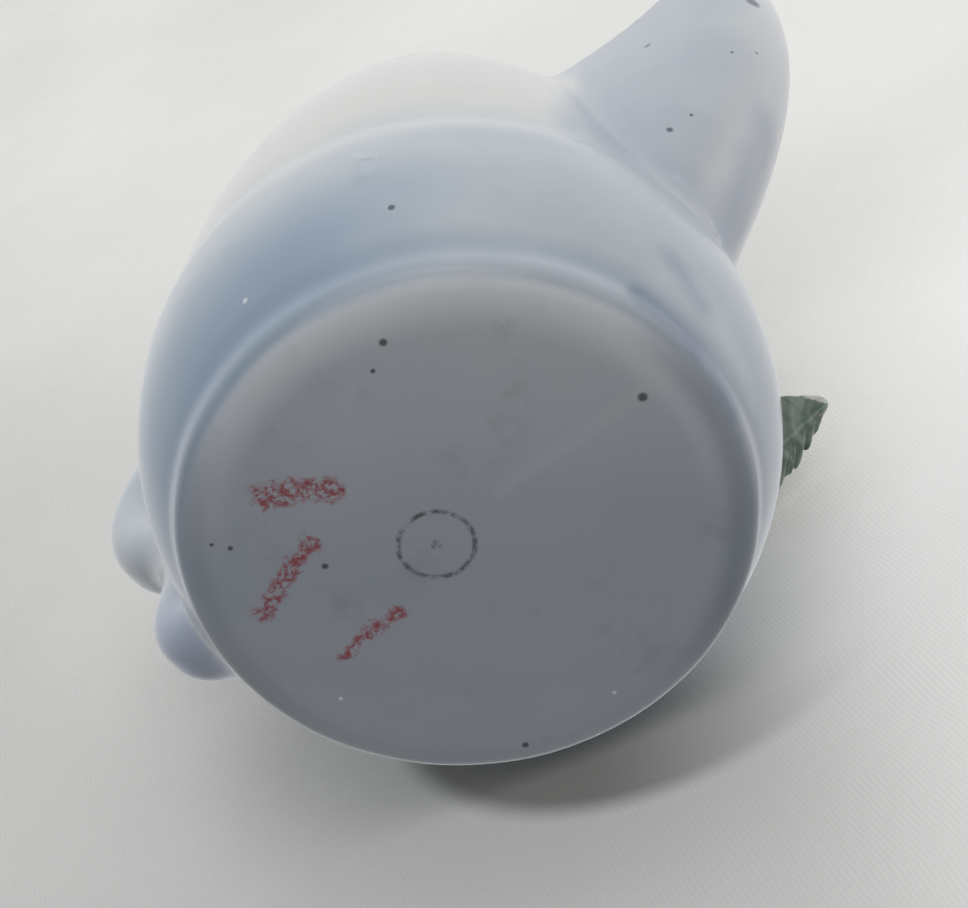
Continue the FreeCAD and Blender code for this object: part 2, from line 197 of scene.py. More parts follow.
CAVITY = outline_points([
    (0.0, FLOOR_HEIGHT),
    (FLOOR_RADIUS, FLOOR_HEIGHT, CAVITY_CURVE),
    (BELLY_RADIUS - WALL, BELLY_HEIGHT, SHOULDER_CURVE - WALL),
    (SHOULDER_RADIUS - WALL, SHOULDER_HEIGHT, NECK_CURVE - WALL),
    (RIM_RADIUS - WALL, RIM_TOP - WALL / 2),
    (RIM_RADIUS - WALL, ABOVE),
    (0.0, ABOVE),
])


def line_distance(x, z, start, end):
    run = end - start
    share = np.clip(((x - start[0]) * run[0] + (z - start[1]) * run[1]) / (run @ run), 0, 1)
    return np.hypot(x - start[0] - share * run[0], z - start[1] - share * run[1])


class TurnedField:
    """Signed distance to a turned outline, negative inside, from a table over radius and height."""

    step = 0.15
    lowest = -3.0
    widest = 32.0

    def __init__(self, points, softening):
        self.radii = np.arange(0, self.widest, self.step)
        self.heights = np.arange(self.lowest, ABOVE - 2, self.step)
        radius, height = np.meshgrid(self.radii, self.heights, indexing="ij")
        nearest = np.full(radius.shape, 1e9)
        inside = np.zeros(radius.shape, bool)
        for (r1, z1), (r2, z2) in zip(points, points[1:] + points[:1]):
            crosses = (z1 > height) != (z2 > height)
            rise = z2 - z1 if z2 != z1 else 1.0
            inside ^= crosses & (radius < r1 + (height - z1) * (r2 - r1) / rise)
            if r1 > 0 or r2 > 0:
                side = line_distance(radius, height, np.array([r1, z1]), np.array([r2, z2]))
                nearest = np.minimum(nearest, side)
        self.table = self.blurred(np.where(inside, -nearest, nearest), softening)

    def blurred(self, table, softening):
        reach = int(3 * softening / self.step) + 1
        weights = np.exp(-0.5 * (np.arange(-reach, reach + 1) * self.step / softening) ** 2)
        weights /= weights.sum()
        for _ in ("over radius", "over height"):
            padded = np.pad(table, ((reach, reach), (0, 0)), mode="reflect")
            table = sum(weight * padded[i:i + len(table)] for i, weight in enumerate(weights)).T
        return table

    def __call__(self, radius, height):
        r = np.clip(radius / self.step, 0, len(self.radii) - 1.001)
        z = np.clip((height - self.lowest) / self.step, 0, len(self.heights) - 1.001)
        i, j = r.astype(int), z.astype(int)
        fr, fz = r - i, z - j
        low = self.table[i, j] * (1 - fz) + self.table[i, j + 1] * fz
        high = self.table[i + 1, j] * (1 - fz) + self.table[i + 1, j + 1] * fz
        beyond = np.maximum(radius - self.radii[-1], 0)
        return low * (1 - fr) + high * fr + beyond


outside_field = TurnedField(OUTSIDE, EDGE_SOFTENING)
cavity_field = TurnedField(CAVITY, EDGE_SOFTENING)


def smooth_min(a, b, reach):
    """The smaller of two distances, with a fillet of that reach where they meet."""
    overlap = np.maximum(reach - np.abs(a - b), 0) / reach
    return np.minimum(a, b) - overlap ** 3 * reach / 6


def smooth_max(a, b, reach):
    return -smooth_min(-a, -b, reach)


def spout_section(x, y, z):
    """Distance within a level section to the spout's U: a nose arc and two sides tangent to it."""
    rise = np.clip((z - SPOUT_ROOT_HEIGHT) / (SPOUT_TOP_HEIGHT - SPOUT_ROOT_HEIGHT), -0.15, 1.1)
    swell = rise * (1 - rise)
    reach = SPOUT_ROOT_REACH + (SPOUT_TIP_REACH - SPOUT_ROOT_REACH) * rise + SPOUT_SWELL * swell
    nose = SPOUT_ROOT_NOSE + (SPOUT_TIP_NOSE - SPOUT_ROOT_NOSE) * rise
    half_width = SPOUT_ROOT_HALF_WIDTH + (SPOUT_TIP_HALF_WIDTH - SPOUT_ROOT_HALF_WIDTH) * rise
    half_width = half_width + SPOUT_SIDE_SWELL * swell
    centre = nose - reach
    run = -SPOUT_ROOT_DEPTH - centre
    turn = np.arctan2(half_width, run) + np.arccos(np.clip(nose / np.hypot(run, half_width), -1, 1))
    across = np.abs(y)
    ahead = x - centre
    along = ahead * np.sin(turn) - across * np.cos(turn)
    side = ahead * np.cos(turn) + across * np.sin(turn) - nose
    return np.where(along > 0, side, np.hypot(ahead, across) - nose)


def spout_fields(x, y, z):
    """Distances to the spout's outside and to its pouring channel, one wall further in."""
    nudge = 0.1
    level = spout_section(x, y, z)
    slope = (spout_section(x, y, z + nudge) - spout_section(x, y, z - nudge)) / (2 * nudge)
    distance = level / np.sqrt(1 + slope ** 2)
    ends = np.maximum(SPOUT_ROOT_HEIGHT * 0.6 - z, x + SPOUT_ROOT_DEPTH * 0.8)
    return np.maximum(distance, ends), np.maximum(distance + WALL, ends)


def waist_centre():
    """The centre of the handle's reverse bend, touching the loop and the tail on their outer side."""
    link = TAIL_CENTRE - LOOP_CENTRE
    length = np.hypot(*link)
    first, second = LOOP_CURVE + WAIST_CURVE, TAIL_CURVE + WAIST_CURVE
    along = (first ** 2 - second ** 2 + length ** 2) / (2 * length)
    across = math.sqrt(first ** 2 - along ** 2)
    direction = link / length
    return LOOP_CENTRE + direction * along + np.array([-direction[1], direction[0]]) * across


def towards(start, end):
    return (end - start) / np.hypot(*(end - start))


WAIST_CENTRE = waist_centre()
LOOP_START = LOOP_CENTRE + LOOP_CURVE * heading(LOOP_LEAD + math.pi / 2)
LOOP_END = LOOP_CENTRE + LOOP_CURVE * towards(LOOP_CENTRE, WAIST_CENTRE)
TAIL_START = TAIL_CENTRE + TAIL_CURVE * towards(TAIL_CENTRE, WAIST_CENTRE)
TAIL_END = TAIL_CENTRE + TAIL_CURVE * heading(TAIL_LEAD - math.pi / 2)
HANDLE_START = LOOP_START - HANDLE_LEAD * heading(LOOP_LEAD)
HANDLE_END = TAIL_END - HANDLE_LEAD * heading(TAIL_LEAD)


def bend_distance(x, z, start, end, centre, radius):
    """Distance to an arc of less than half a turn, or far away beside its ends."""
    middle = towards(centre, (start + end) / 2)
    cosine = towards(centre, start) @ middle
    away = np.hypot(x - centre[0], z - centre[1]) + 1e-9
    facing = ((x - centre[0]) * middle[0] + (z - centre[1]) * middle[1]) / away
    return np.where(facing >= cosine, np.abs(away - radius), 1e3)


def handle_field(x, y, z):
    course = np.minimum.reduce([
        line_distance(x, z, HANDLE_START, LOOP_START),
        bend_distance(x, z, LOOP_START, LOOP_END, LOOP_CENTRE, LOOP_CURVE),
        bend_distance(x, z, LOOP_END, TAIL_START, WAIST_CENTRE, WAIST_CURVE),
        bend_distance(x, z, TAIL_START, TAIL_END, TAIL_CENTRE, TAIL_CURVE),
        line_distance(x, z, TAIL_END, HANDLE_END),
    ])
    flat = HANDLE_HALF_WIDTH - HANDLE_RADIUS
    return np.hypot(course, np.maximum(np.abs(y) - flat, 0)) - HANDLE_RADIUS


def lip_field(x, z):
    """Positive above the rim and above the spout's lip, which dips and then rises to a level tip."""
    centre = arc_centre(LIP_CREST, LIP_START, LIP_CURVE)
    dip = LIP_CURVE - np.hypot(x - centre[0], z - centre[1])
    rim = np.minimum(z - RIM_TOP, x - LIP_START[0])
    return smooth_max(smooth_max(dip, z - LIP_TOP, 2.0), rim, 3.0)


def hand_made(x, y, z):
    """The slight unevenness of a small slip-cast piece, in millimetres."""
    bearing = np.arctan2(y, x)
    around = 0.05 * np.sin(2 * bearing + 0.7) + 0.035 * np.sin(3 * bearing - 1.1 + z * 0.05)
    ripples = 0.025 * np.sin(x * 0.55 + 1.3) * np.sin(y * 0.62 - 0.4) * np.sin(z * 0.48 + 0.9)
    return around * np.clip(z / FOOT_EDGE_HEIGHT, 0, 1) + ripples


def jug_fields(x, y, z):
    """The whole cast jug's signed distance, rounded at the lip, then those to body, spout and handle."""
    radius = np.hypot(x, y)
    body = outside_field(radius, z)
    spout, channel = spout_fields(x, y, z)
    handle = handle_field(x, y, z)
    outer = smooth_min(smooth_min(body, spout, LUTE), handle, LUTE) + hand_made(x, y, z)
    inner = smooth_min(cavity_field(radius, z), channel, LUTE)
    wall = np.maximum(outer, -inner)
    lip = lip_field(x, z)
    bead = WALL / 2
    rounded = np.hypot(np.maximum(wall + bead, 0), np.maximum(lip + bead, 0))
    whole = np.minimum(np.maximum(wall, lip), -bead) + rounded
    return whole, body, spout, handle


# ---- Meshes from the fields ----

BODY, SPOUT, HANDLE = 1, 2, 3
BELOW_BASE = VOXEL * 0.45   # sets the grid's levels so that the flat base lies between two of them
JUST_INSIDE = -0.01


def axis_samples(low, high):
    return np.arange(low - 3 * VOXEL, high + 4 * VOXEL, VOXEL)


def sampled_jug():
    """Labels (0 outside, then one per piece) and distances on a regular grid."""
    xs = axis_samples(spout_low.x, handle_high.x)
    ys = axis_samples(-BELLY_RADIUS, BELLY_RADIUS)
    zs = axis_samples(BELOW_BASE, LIP_TOP)
    field = np.empty((len(xs), len(ys), len(zs)), np.float32)
    labels = np.zeros(field.shape, np.uint8)
    for i, x in enumerate(xs):
        whole, body, spout, handle = jug_fields(x, ys[:, None], zs[None, :])
        field[i] = whole
        attached = np.where(spout < handle, SPOUT, HANDLE)
        piece = np.where((body <= 0) | (body <= np.minimum(spout, handle)), BODY, attached)
        labels[i] = np.where(whole < 0, piece, 0)
    untangle(field, labels)
    return (xs, ys, zs), field, labels


def untangle(field, labels):
    """Grow pieces where one would only touch itself along an edge, so that each mesh is closed and plain."""
    for _ in range(6):
        for plane in ((0, 1), (0, 2), (1, 2)):
            values, kinds = np.moveaxis(field, plane, (0, 1)), np.moveaxis(labels, plane, (0, 1))
            near, far = slice(None, -1), slice(1, None)
            for low_side, high_side in ((near, far), (far, near)):
                one, other = kinds[near, low_side], kinds[far, high_side]
                gap, gap_value = kinds[far, low_side], values[far, low_side]
                last = kinds[near, high_side]
                for label in (BODY, SPOUT, HANDLE):
                    crossed = (one == label) & (other == label) & (gap != label) & (last != label)
                    beside_body = crossed & ((gap == BODY) | (last == BODY))
                    one[beside_body] = BODY
                    filled = crossed & ~beside_body
                    gap[filled] = label
                    gap_value[filled] = np.minimum(gap_value[filled], JUST_INSIDE)


def net_vertices(axes, field, labels):
    """One vertex in each cell whose corners differ, and the number of each cell's vertex."""
    shape = np.array(labels.shape) - 1

    def corner(array, c):
        return array[tuple(slice(start, start + size) for start, size in zip(c, shape))]

    corners = list(np.ndindex(2, 2, 2))
    lowest = np.minimum.reduce([corner(labels, c) for c in corners])
    highest = np.maximum.reduce([corner(labels, c) for c in corners])
    active = lowest != highest
    numbers = np.full(tuple(shape), -1, np.int64)
    numbers[active] = np.arange(active.sum())
    at_surface = (lowest == 0)[active]
    cells = np.argwhere(active)
    base = np.stack([axes[a][cells[:, a]] for a in range(3)], 1)
    total = np.zeros((len(cells), 3))
    count = np.zeros(len(cells))
    for first in corners:
        for axis in range(3):
            if first[axis]:
                continue
            second = tuple(v + (a == axis) for a, v in enumerate(first))
            label_1, label_2 = corner(labels, first)[active], corner(labels, second)[active]
            field_1, field_2 = corner(field, first)[active], corner(field, second)[active]
            leaves = (label_1 == 0) != (label_2 == 0)
            counted = np.where(at_surface, leaves, label_1 != label_2)
            share = np.where(leaves, field_1 / np.where(leaves, field_1 - field_2, 1), 0.5)
            place = np.tile(np.array(first, float), (len(cells), 1))
            place[:, axis] = share
            total += place * counted[:, None]
            count += counted
    return base + VOXEL * total / count[:, None], numbers, at_surface


def net_faces(labels, numbers):
    """Quads between unlike samples: vertex numbers, the piece each belongs to, and what is outside it."""
    quads, owners, others = [], [], []
    for axis in range(3):
        axes = (axis, (axis + 1) % 3, (axis + 2) % 3)
        samples, cells = labels.transpose(axes), numbers.transpose(axes)
        near, far = samples[:-1, 1:-1, 1:-1], samples[1:, 1:-1, 1:-1]
        i, j, k = np.nonzero(near != far)
        a, b = near[i, j, k], far[i, j, k]
        ring = np.stack([cells[i, j, k], cells[i, j + 1, k], cells[i, j + 1, k + 1], cells[i, j, k + 1]], 1)
        for owner, other, order in ((a, b, ring), (b, a, ring[:, ::-1])):
            solid = owner > 0
            quads.append(order[solid])
            owners.append(owner[solid])
            others.append(other[solid])
    return np.concatenate(quads), np.concatenate(owners), np.concatenate(others)


def gradient(points):
    nudge = 0.03
    parts = []
    for step in np.eye(3) * nudge:
        ahead, behind = [jug_fields(*(points + side * step).T)[0] for side in (1, -1)]
        parts.append((ahead - behind) / (2 * nudge))
    return np.stack(parts, 1)


def pulled_to_surface(points, rounds):
    for _ in range(rounds):
        slope = gradient(points)
        value = jug_fields(*points.T)[0]
        step = -value[:, None] * slope / np.maximum((slope ** 2).sum(1), 0.05)[:, None]
        length = np.linalg.norm(step, axis=1, keepdims=True)
        points = points + step * np.minimum(1, VOXEL / 2 / np.maximum(length, 1e-9))
    return points


def relaxed(points, quads, movable):
    """Move vertices half way to the mean of their neighbours in the quads."""
    first = quads.ravel()
    second = np.roll(quads, -1, 1).ravel()
    start, end = np.concatenate([first, second]), np.concatenate([second, first])
    count = np.maximum(np.bincount(start, minlength=len(points)), 1)
    mean = np.stack([np.bincount(start, points[end, a], len(points)) / count for a in range(3)], 1)
    return np.where(movable[:, None], (points + mean) / 2, points)


def unit(vectors):
    return vectors / np.maximum(np.linalg.norm(vectors, axis=-1, keepdims=True), 1e-9)


def add_to_scene(name, data):
    made = bpy.data.objects.new(name, data)
    bpy.context.scene.collection.objects.link(made)
    return made


def mesh_object(name, points, quads, normals=None):
    """A mesh object from points in millimetres and four-cornered faces."""
    used, corners = np.unique(quads, return_inverse=True)
    mesh = bpy.data.meshes.new(name)
    mesh.from_pydata((points[used] * MM).tolist(), [], corners.reshape(-1, 4).tolist())
    mesh.shade_smooth()
    if normals:
        mesh.normals_split_custom_set(normals)
    return add_to_scene(name, mesh)


def cast_jug():
    """Body, spout and handle: three closed meshes that meet exactly at their luted joints."""
    axes, field, labels = sampled_jug()
    points, numbers, at_surface = net_vertices(axes, field, labels)
    quads, owners, others = net_faces(labels, numbers)
    skin = others == 0
    for _ in range(3):
        points = relaxed(points, quads[skin], at_surface)
        points = relaxed(points, quads[~skin], ~at_surface)
        points[at_surface] = pulled_to_surface(points[at_surface], 1)
    points[at_surface] = pulled_to_surface(points[at_surface], 2)
    slope = np.zeros(points.shape)
    slope[at_surface] = unit(gradient(points[at_surface]))
    pieces = {}
    for node, label in (("jug_body", BODY), ("spout", SPOUT), ("handle", HANDLE)):
        mine = owners == label
        faces = quads[mine]
        a, b, c, d = points[faces].swapaxes(0, 1)
        facing = unit(np.cross(c - a, d - b))
        normals = np.where(skin[mine][:, None, None], slope[faces], facing[:, None, :])
        pieces[node] = mesh_object(node + "_china", points, faces, normals.reshape(-1, 3).tolist())
    return pieces


# ---- Sheets: petals, bud and leaves ----


def sheet(name, middle, thickness, placement):
    """A closed shell about a grid of points: half the thickness on each side, joined round its edge."""
    rows, columns = middle.shape[:2]
    normal = unit(np.cross(np.gradient(middle, axis=0), np.gradient(middle, axis=1)))
    offset = normal * (thickness / 2)[:, :, None]
    points = np.concatenate([(middle + offset).reshape(-1, 3), (middle - offset).reshape(-1, 3)])
    count = rows * columns
    number = np.arange(count).reshape(rows, columns)
    top = np.stack([number[:-1, :-1], number[1:, :-1], number[1:, 1:], number[:-1, 1:]], -1).reshape(-1, 4)
    rim = np.concatenate([number[:, 0], number[-1, 1:], number[-2::-1, -1], number[0, -2:0:-1]])
    following = np.roll(rim, -1)
    edge = np.stack([following, rim, rim + count, following + count], 1)
    placed = np.array([placement @ Vector(p) for p in points])
    piece = mesh_object(name, placed, np.concatenate([top, top[:, ::-1] + count, edge]))
    smooth = piece.modifiers.new("rounding", "SUBSURF")
    smooth.levels = SHEET_LEVELS
    smooth.render_levels = SHEET_LEVELS
    return piece


def turned(axis, degrees):
    return Matrix.Rotation(math.radians(degrees), 4, axis)


def outward(bearing, reach, height):
    """A frame on the belly whose X axis points straight out."""
    return turned("Z", bearing) @ Matrix.Translation((reach, 0, height))


ROSE_FRAME = outward(ROSE_BEARING, ROSE_SEAT, ROSE_HEIGHT) @ turned("Y", 90 - ROSE_TILT)


def rolled_bud():
    """The rose's centre: one strip of clay rolled up, higher in the middle than outside."""
    turns, rows, columns = 2.3, 64, 9
    roll = np.linspace(0, 1, rows)[:, None]
    up = np.linspace(0, 1, columns)[None, :]
    angle = roll * turns * 2 * math.pi
    radius = 0.3 + roll * 1.75 + 0.22 * up ** 3 * roll
    crown = 6.7 - 1.1 * roll + 0.12 * np.sin(angle * 1.7 + 0.5)
    middle = np.stack([radius * np.cos(angle), radius * np.sin(angle), up * crown + 0 * roll], -1)
    thickness = 0.56 - 0.16 * up ** 2 + 0 * roll
    return sheet("rose_bud_china", middle, thickness, ROSE_FRAME)


def petal(name, centre_angle, half_angle, root, tip, crown, curl, lean):
    """A cupped petal.  Its edge rolls outward by curl, and one side laps over its neighbour by lean."""
    rows, columns = 25, 15
    across = np.linspace(-1, 1, rows)[:, None]
    up = np.linspace(0, 1, columns)[None, :]
    spread = half_angle * (0.72 + 0.28 * np.sin(up * math.pi * 0.6))
    angle = centre_angle + across * spread
    rounded = crown * (1 - 0.34 * np.abs(across) ** 3.2) + 0.16 * np.sin(across * 7 + centre_angle * 3)
    height = up * rounded * (1 - 0.06 * up ** 6)
    belly = (tip - root) * (1.15 * up - 0.15 * up ** 2)
    rolled = curl * np.clip((up - 0.62) / 0.38, 0, 1) ** 2
    ruffle = 0.16 * up ** 2 * np.sin(across * 5.2 + centre_angle * 5)
    pinch = -0.5 * up ** 3 * np.exp(-(across / 0.22) ** 2)
    radius = root + belly + rolled + ruffle + lean * across * (0.5 + 0.5 * up) + pinch * curl
    middle = np.stack([radius * np.cos(angle), radius * np.sin(angle), height - rolled * 0.35], -1)
    thickness = 0.78 - 0.3 * up ** 2 + 0 * across
    return sheet(name, middle, thickness, ROSE_FRAME)


def leaf_placement(bearing, height, turn, rise, roll):
    taper = (SHOULDER_RADIUS - RIM_RADIUS) / (RIM_TOP - SHOULDER_HEIGHT)
    reach = SHOULDER_RADIUS - max(height - SHOULDER_HEIGHT, 0.0) * taper * 0.6
    return outward(bearing, reach, height) @ turned("Z", turn) @ turned("Y", -rise) @ turned("X", roll)


def leaf(name, placement, chipped):
    """A pressed leaf: toothed edge, sunk midrib and side veins, slightly cupped and drooping."""
    rows, columns = 61, 25
    along = np.linspace(0, 1, rows)[:, None]
    across = np.linspace(-1, 1, columns)[None, :]
    lens = np.sin(math.pi * (0.06 + 0.94 * along) ** 0.95) ** 0.68
    teeth = 1 - 0.09 * ((along * LEAF_TEETH) % 1) * np.clip(lens * 2, 0, 1)
    if chipped:
        lower = across > 0
        bites = 0.16 * np.clip(np.sin(along * 34 + 0.8) - 0.25, 0, 1)
        bites = bites + 0.1 * np.clip(np.sin(along * 61), 0, 1)
        teeth = teeth - np.where(lower & (along > 0.4), bites, 0)
    half = LEAF_HALF_WIDTH * (0.05 + 0.95 * lens) * teeth
    x = along * LEAF_LENGTH - 0.35 * np.abs(across) * LEAF_HALF_WIDTH * lens
    y = across * half
    vein_phase = (along * LEAF_VEINS - np.abs(across) * 1.5) % 1
    vein = np.exp(-((vein_phase - 0.5) / 0.13) ** 2) * (1 - np.abs(across) ** 3)
    midrib = np.exp(-(across * half / 0.28) ** 2)
    cup = 0.55 * across ** 2 * lens
    droop = -0.5 * along ** 2
    z = cup + droop - 0.13 * vein - 0.26 * midrib
    middle = np.stack([x + 0 * across, y, z], -1)
    thickness = LEAF_THICKNESS * (0.42 + 0.58 * (1 - across ** 2) * lens)
    return sheet(name, middle, thickness + 0 * along, placement)


def applied_spray():
    """The rose and its leaves, one piece for each CAD node."""
    pieces = {"rose_bud": rolled_bud()}
    for ring, count, half_angle, *shape in PETAL_RINGS:
        for number in range(1, count + 1):
            name = ring + str(number)
            angle = math.radians(360 / count * (number + 0.5))
            pieces[name] = petal(name + "_china", angle, math.radians(half_angle), *shape)
    for name, *place in LEAVES:
        pieces[name] = leaf(name + "_china", leaf_placement(*place), name == "leaf_spout_side")
    return pieces


# ---- Materials ----

# Every colour, as hexadecimal digits.
PALETTE = {
    "glaze": "C5CED7", "pale_glaze": "D1D8DD", "deep_glaze": "AEBBCB", "painted_neck_reflection": "E8E6DF",
    "bluer_low_glaze": "98AFC8", "crease": "8297B2", "blue_streak": "8499B4",
    "foot_pool": "7385A3", "rounding": "A4B0BE",
    "painted_shade_side": "838C98", "painted_far_shade": "98A0AA",
    "bare_base": "A8AEB9", "lit_base": "CCCDD3", "lit_edge": "EEF1F6",
    "smudge": "84888A", "streak": "E0E0DE",
    "ring": "3C4040", "brush": "A02A36",
    "painted_lit_spout_front": "E9EAEC", "painted_shaded_spout_back": "9DAABB",
    "painted_spout_flank_shade": "98A6C4", "joint": "97AAC4", "pale_root_line": "DCE5EC", "handle_tail_pool_and_shade": "A9B6D6",
    "small_speck": "47505E", "body_speck": "3A404C", "spout_speck": "3F4A62", "pale_speck": "EDF0F1",
    "petal_root": "B4596B", "petal_edge": "E3A5AC", "petal_brushed": "EFC9C9", "bared_china": "F1ECE6",
    "leaf_dark": "4F6354", "leaf_sage": "7F9384", "leaf_lit": "98A699",
    "leaf_rib": "A9BFB0", "leaf_wash": "6B6F5E", "leaf_edge": "E9EAE2",
    "floor": "E2E2DE", "pale_floor": "E8E8E4",
    "cloth": "E3E3E0", "pale_cloth": "E9E9E6",
    "weave": "C4C4C1", "deep_shade": "302C29", "soft_shade": "9C9B98", "room": "F4F5F6",
}


def colour(name):
    """A palette colour as linear red, green, blue and alpha."""
    parts = [int(PALETTE[name][i:i + 2], 16) / 255 for i in (0, 2, 4)]
    return tuple(p / 12.92 if p <= 0.04045 else ((p + 0.055) / 1.055) ** 2.4 for p in parts) + (1.0,)


def linked_node(tree, kind, inputs, **settings):
    """A new node.  Each of its inputs is linked to a socket or set to a value."""
    made = tree.nodes.new("ShaderNode" + kind)
    for key, value in settings.items():
        setattr(made, key, value)
    for key, value in inputs.items():
        if isinstance(value, bpy.types.NodeSocket):
            tree.links.new(value, made.inputs[key])
        else:
            made.inputs[key].default_value = value
    return made


class Shader:
    """A node material, built up with short calls.  Positions are in millimetres."""

    def __init__(self, name):
        self.material = bpy.data.materials.new(name)
        self.material.use_nodes = True
        self.tree = self.material.node_tree
        self.tree.nodes.clear()
        self.output = self.node("OutputMaterial", {})
        place = self.node("TexCoord", {}).outputs["Object"]
        self.point = self.vector("SCALE", {0: place, "Scale": 1 / MM}).outputs[0]
        self.x, self.y, self.z = self.node("SeparateXYZ", {0: self.point}).outputs

    def node(self, kind, inputs, **settings):
        return linked_node(self.tree, kind, inputs, **settings)

    def vector(self, operation, inputs):
        return self.node("VectorMath", inputs, operation=operation)

    def math(self, operation, *values):
        return self.node("Math", dict(enumerate(values)), operation=operation).outputs[0]

    def add(self, first, *others):
        for value in others:
            first = self.math("ADD", first, value)
        return first

    def less(self, first, second):
        return self.math("SUBTRACT", first, second)

    def times(self, first, *others):
        for value in others:
            first = self.math("MULTIPLY", first, value)
        return first

    def step(self, value, low, high, to_low=0.0, to_high=1.0):
        """A smooth change from to_low to to_high as the value goes from low to high."""
        inputs = {"Value": value, "From Min": low, "From Max": high, "To Min": to_low, "To Max": to_high}
        return self.node("MapRange", inputs, interpolation_type="SMOOTHSTEP").outputs[0]

    def mix(self, share, first, second):
        return self.node("Mix", {0: share, 6: first, 7: second}, data_type="RGBA").outputs[2]

    def tint(self, base, name, strength, *masks):
        """Mix a colour in: at its strength where every mask is 1, not at all where one is 0."""
        return self.mix(self.times(*masks, strength), base, colour(name))

    def noise(self, scale, detail=2.0, rough=0.5, point=None):
        inputs = {"Vector": point or self.point, "Scale": scale, "Detail": detail, "Roughness": rough}
        return self.node("TexNoise", inputs).outputs[0]

    def moved(self, x, y, z):
        """The position, moved by an offset."""
        return self.vector("ADD", {0: self.point, 1: (x, y, z)}).outputs[0]

    def along(self, direction):
        """How far a point lies from the origin in a direction."""
        return self.vector("DOT_PRODUCT", {0: self.point, 1: tuple(direction)}).outputs["Value"]

    def towards(self, bearing):
        """How far a point lies from the axis towards a bearing in degrees."""
        angle = math.radians(bearing)
        return self.add(self.times(self.x, math.cos(angle)), self.times(self.y, math.sin(angle)))

    def length(self, across, up):
        return self.math("SQRT", self.add(self.times(across, across), self.times(up, up)))

    def from_axis(self):
        return self.length(self.x, self.y)

    def from_place(self, x, y, z):
        return self.vector("DISTANCE", {0: self.point, 1: (x, y, z)}).outputs["Value"]

    def from_line(self, start, end):
        """Distance from a straight line between two places."""
        start, run = Vector(start), Vector(end) - Vector(start)
        offset = self.moved(*-start)
        share = self.vector("DOT_PRODUCT", {0: offset, 1: run / run.length_squared}).outputs["Value"]
        share = self.node("Clamp", {"Value": share}).outputs[0]
        nearest = self.vector("SCALE", {0: run, "Scale": share}).outputs[0]
        return self.vector("DISTANCE", {0: offset, 1: nearest}).outputs["Value"]

    def run(self, base, name, strength, course, reach, core, wander=0.0):
        """Mix a colour in along a straight course: none beyond reach, all of it within core."""
        away = self.add(self.from_line(*course), wander)
        return self.tint(base, name, strength, self.step(away, reach, core))

    def dots(self, spacing, radius, share, shift):
        """Scattered dots: 1 inside a dot.  Only a share of the cells holds one."""
        inputs = {"Vector": self.moved(shift, -shift, shift / 2), "Scale": 1 / spacing}
        cells = self.node("TexVoronoi", inputs)
        chosen = self.node("SeparateColor", {0: cells.outputs["Color"]}).outputs
        present = self.step(chosen[0], share, share - 0.01)
        size = self.step(chosen[1], 0.0, 1.0, radius / spacing * 0.4, radius / spacing)
        reach = self.math("DIVIDE", cells.outputs["Distance"], size)
        return self.times(present, self.step(reach, 1.0, 0.55))

    def bump(self, height, strength, distance, normal=None):
        inputs = {"Height": height, "Strength": strength, "Distance": distance * MM}
        if normal is not None:
            inputs["Normal"] = normal
        return self.node("Bump", inputs).outputs[0]

    def surface(self, base, roughness, normal, coat=0.35, subsurface=0.0):
        """Finish as glazed china."""
        return self.finished(self.node("BsdfPrincipled", {
            "Base Color": base, "Roughness": roughness, "Normal": normal, "IOR": 1.5,
            "Coat Weight": coat, "Coat Roughness": 0.12,
            "Subsurface Weight": subsurface, "Subsurface Scale": 1.2 * MM,
        }))

    def matt_where(self, base, normal, share, glow=0.0):
        """Finish as a matt, faintly glowing surface where the share is 1, and as nothing elsewhere."""
        matt = self.node("BsdfDiffuse", {"Color": base, "Normal": normal}).outputs[0]
        lift = self.node("Emission", {"Color": base, "Strength": glow}).outputs[0]
        lifted = self.node("AddShader", {0: matt, 1: lift}).outputs[0]
        clear = self.node("BsdfTransparent", {}).outputs[0]
        return self.finished(self.node("MixShader", {0: share, 1: clear, 2: lifted}))

    def finished(self, last):
        self.tree.links.new(last.outputs[0], self.output.inputs[0])
        return self.material


# A plain potter's mark on the base: a ring with a dot, and dry brush strokes (start, end, half width).
RING_CENTRE = (2.0, 1.0, 0.0)
RING_RADIUS = 2.6
RING_HALF_LINE = 0.28
DOT_RADIUS = 0.5
STROKES = [
    ((4.8, 8.9, 0.0), (8.6, 11.2, 0.0), 1.15),
    ((8.4, 6.4, 0.0), (14.6, 4.2, 0.0), 0.85),
    ((7.4, -1.6, 0.0), (12.6, -2.0, 0.0), 0.7),
]

# Flaws in the glaze: x, y, z and radius.
BODY_SPECKS = [
    (-15.4, 1.5, 0.0, 0.46), (-4.7, 15.2, 0.0, 0.38), (8.9, 4.4, 0.0, 0.32), (7.4, -16.3, 0.0, 0.34),
    (12.9, 9.5, 0.0, 0.26), (13.7, 10.5, 0.0, 0.2), (-2.9, 14.0, 0.0, 0.24), (-9.3, 20.0, 6.3, 0.34),
]
SPOUT_SPECKS = [
    (-24.8, 6.0, 41.1, 0.4), (-30.3, 3.7, 35.2, 0.2), (-31.7, 2.0, 36.4, 0.2), (-25.8, 4.6, 27.3, 0.22),
    (-24.1, 5.3, 25.7, 0.36), (-33.2, 2.6, 44.3, 0.9),
]
PALE_SPECKS = [(1.9, 21.3, 4.8, 0.3), (-0.2, -16.6, 0.0, 0.22), (15.0, -4.8, 0.0, 0.22)]
